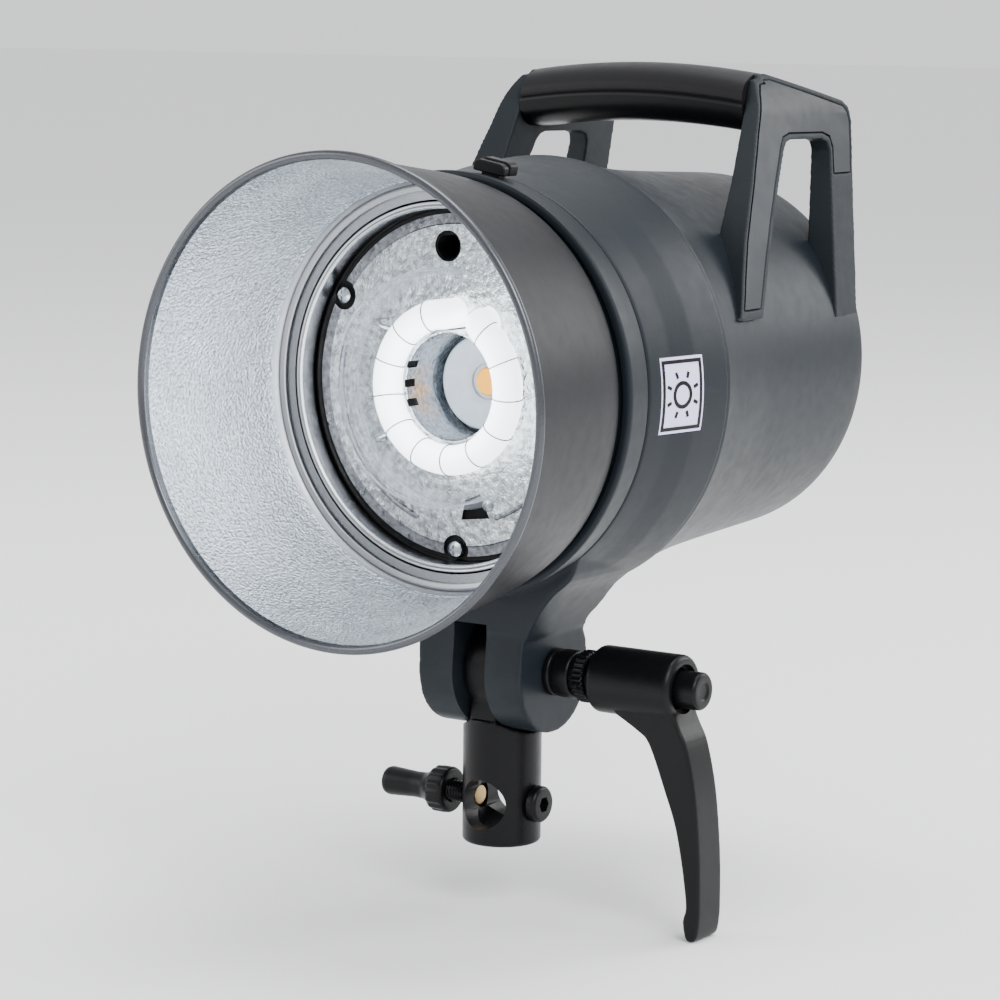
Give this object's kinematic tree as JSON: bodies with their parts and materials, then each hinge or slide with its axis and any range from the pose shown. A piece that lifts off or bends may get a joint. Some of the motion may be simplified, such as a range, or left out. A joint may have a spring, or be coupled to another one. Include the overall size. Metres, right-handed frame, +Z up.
{
  "type": "monolight strobe",
  "caption": "Studio flash head with a short round reflector, glass-domed ring tube, top handle, rear controls and a tilting stand bracket with clamp lever.",
  "frame": {"origin": "centre of the stand socket's bottom face", "axes": "+Z up along the stand spigot, the lamp fires towards -Y, the clamp lever is on the +X side"},
  "size_m": [0.1638, 0.2423, 0.287],
  "materials": {
    "slate_casing": "fine-textured satin, dark blue-grey",
    "black_plastic": "fine-textured satin black",
    "grip_rubber": "soft-touch black",
    "black_metal": "black powder coat",
    "steel": "bright zinc",
    "silver": "bright, crinkle-embossed",
    "spun_metal": "dark satin outside, hammered silver inside",
    "bright_collar": "brushed",
    "brass": "plain",
    "ceramic": "white",
    "clear_glass": "clear",
    "flash_tube": "frosted, lit white",
    "led": "yellow emitter",
    "badge_light": "translucent, backlit lavender white",
    "smoked_window": "smoked clear",
    "button_grey": "satin grey",
    "rocker": "dark red",
    "circuit_board": "green solder mask",
    "capacitor": "dark blue sleeve",
    "ferrite": "dark grey",
    "fibre": "brown fibre"
  },
  "bodies": {
    "bracket": {"spigot_socket": "black_metal", "blank_screw": "black_metal", "friction_washer_left": "fibre", "friction_washer_right": "fibre"},
    "lock_pad": {"lock_pad": "brass"},
    "lock_screw": {"lock_stud": "black_metal", "lock_knob": "black_plastic"},
    "head": {"front_ring": "slate_casing", "front_shell": "slate_casing", "badge_tile": "badge_light", "rear_shell": "slate_casing", "rear_panel": "black_plastic", "handle_plate_left": "slate_casing", "handle_plate_right": "slate_casing", "handle_cover_left": "slate_casing", "handle_cover_right": "slate_casing", "grip_top": "grip_rubber", "grip_bottom": "black_plastic", "plate_carrier": "black_plastic", "front_plate": "silver", "glass_dome": "clear_glass", "flash_tube": "flash_tube", "tube_socket": "ceramic", "inner_cup": "silver", "led_board": "led", "led_reflector": "ceramic", "led_heatsink": "silver", "umbrella_tube": "black_metal", "chassis": "steel", "capacitor_left": "capacitor", "capacitor_right": "capacitor", "main_board": "circuit_board", "transformer": "ferrite", "fan_frame": "black_plastic", "display_window": "smoked_window", "mains_inlet": "black_plastic", "fuse_cap": "black_plastic", "sync_socket": "steel", "tilt_bolt": "steel", "clamp_collar": "black_plastic", "plate_screw_1": "steel", "plate_screw_2": "steel", "plate_screw_3": "steel", "rear_screw_1": "steel", "rear_screw_2": "steel", "rear_screw_3": "steel"},
    "clamp_lever": {"clamp_insert": "black_metal", "clamp_lever": "black_plastic", "lever_spring": "steel"},
    "lever_button": {"lever_button": "black_plastic"},
    "release_slider": {"release_slider": "black_plastic"},
    "reflector": {"reflector_bell": "spun_metal", "reflector_collar": "bright_collar"},
    "fan_rotor": {"fan_rotor": "black_plastic"},
    "control_knob": {"control_knob": "black_plastic"},
    "rocker_switch": {"rocker_switch": "rocker"},
    "menu_button_1": {"menu_button_1": "button_grey"},
    "menu_button_2": {"menu_button_2": "button_grey"},
    "menu_button_3": {"menu_button_3": "button_grey"}
  },
  "joints": [
    {"name": "head_tilt", "type": "hinge", "parent": "bracket", "child": "head", "pos_m": [0, 0, 0.0614], "axis": [1, 0, 0], "range_deg": [-50, 60]},
    {"name": "lever_turn", "type": "hinge", "parent": "head", "child": "clamp_lever", "pos_m": [0.05, 0, 0.0614], "axis": [1, 0, 0], "range_deg": [-120, 120]},
    {"name": "lever_push", "type": "slide", "parent": "clamp_lever", "child": "lever_button", "axis": [-1, 0, 0], "range_m": [0, 0.004], "stiffness_N_per_m": 400},
    {"name": "lock_turn", "type": "hinge", "parent": "lock_pad", "child": "lock_screw", "pos_m": [-0.02, 0, 0.0146], "axis": [1, 0, 0], "range_deg": [0, 720]},
    {"name": "lock_slide", "type": "slide", "parent": "bracket", "child": "lock_pad", "axis": [1, 0, 0], "range_m": [0, 0.0025]},
    {"name": "reflector_twist", "type": "hinge", "parent": "head", "child": "reflector", "pos_m": [0, -0.0356, 0.1597], "axis": [0, 1, 0], "range_deg": [0, 30]},
    {"name": "release_slide", "type": "slide", "parent": "head", "child": "release_slider", "axis": [0, 1, 0], "range_m": [0, 0.0035], "stiffness_N_per_m": 500},
    {"name": "fan_spin", "type": "hinge", "parent": "head", "child": "fan_rotor", "pos_m": [0, 0.1065, 0.1597], "axis": [0, 1, 0], "continuous": true},
    {"name": "knob_turn", "type": "hinge", "parent": "head", "child": "control_knob", "pos_m": [0, 0.1315, 0.1537], "axis": [0, 1, 0], "continuous": true},
    {"name": "switch_rock", "type": "hinge", "parent": "head", "child": "rocker_switch", "pos_m": [0.011, 0.1295, 0.1237], "axis": [1, 0, 0], "range_deg": [0, 12]},
    {"name": "menu_press_1", "type": "slide", "parent": "head", "child": "menu_button_1", "axis": [0, -1, 0], "range_m": [0, 0.001], "stiffness_N_per_m": 800},
    {"name": "menu_press_2", "type": "slide", "parent": "head", "child": "menu_button_2", "axis": [0, -1, 0], "range_m": [0, 0.001], "stiffness_N_per_m": 800},
    {"name": "menu_press_3", "type": "slide", "parent": "head", "child": "menu_button_3", "axis": [0, -1, 0], "range_m": [0, 0.001], "stiffness_N_per_m": 800}
  ],
  "couplings": [
    {"joint": "lock_turn", "follows": "lock_slide", "rad_per_m": 5026.5}
  ]
}
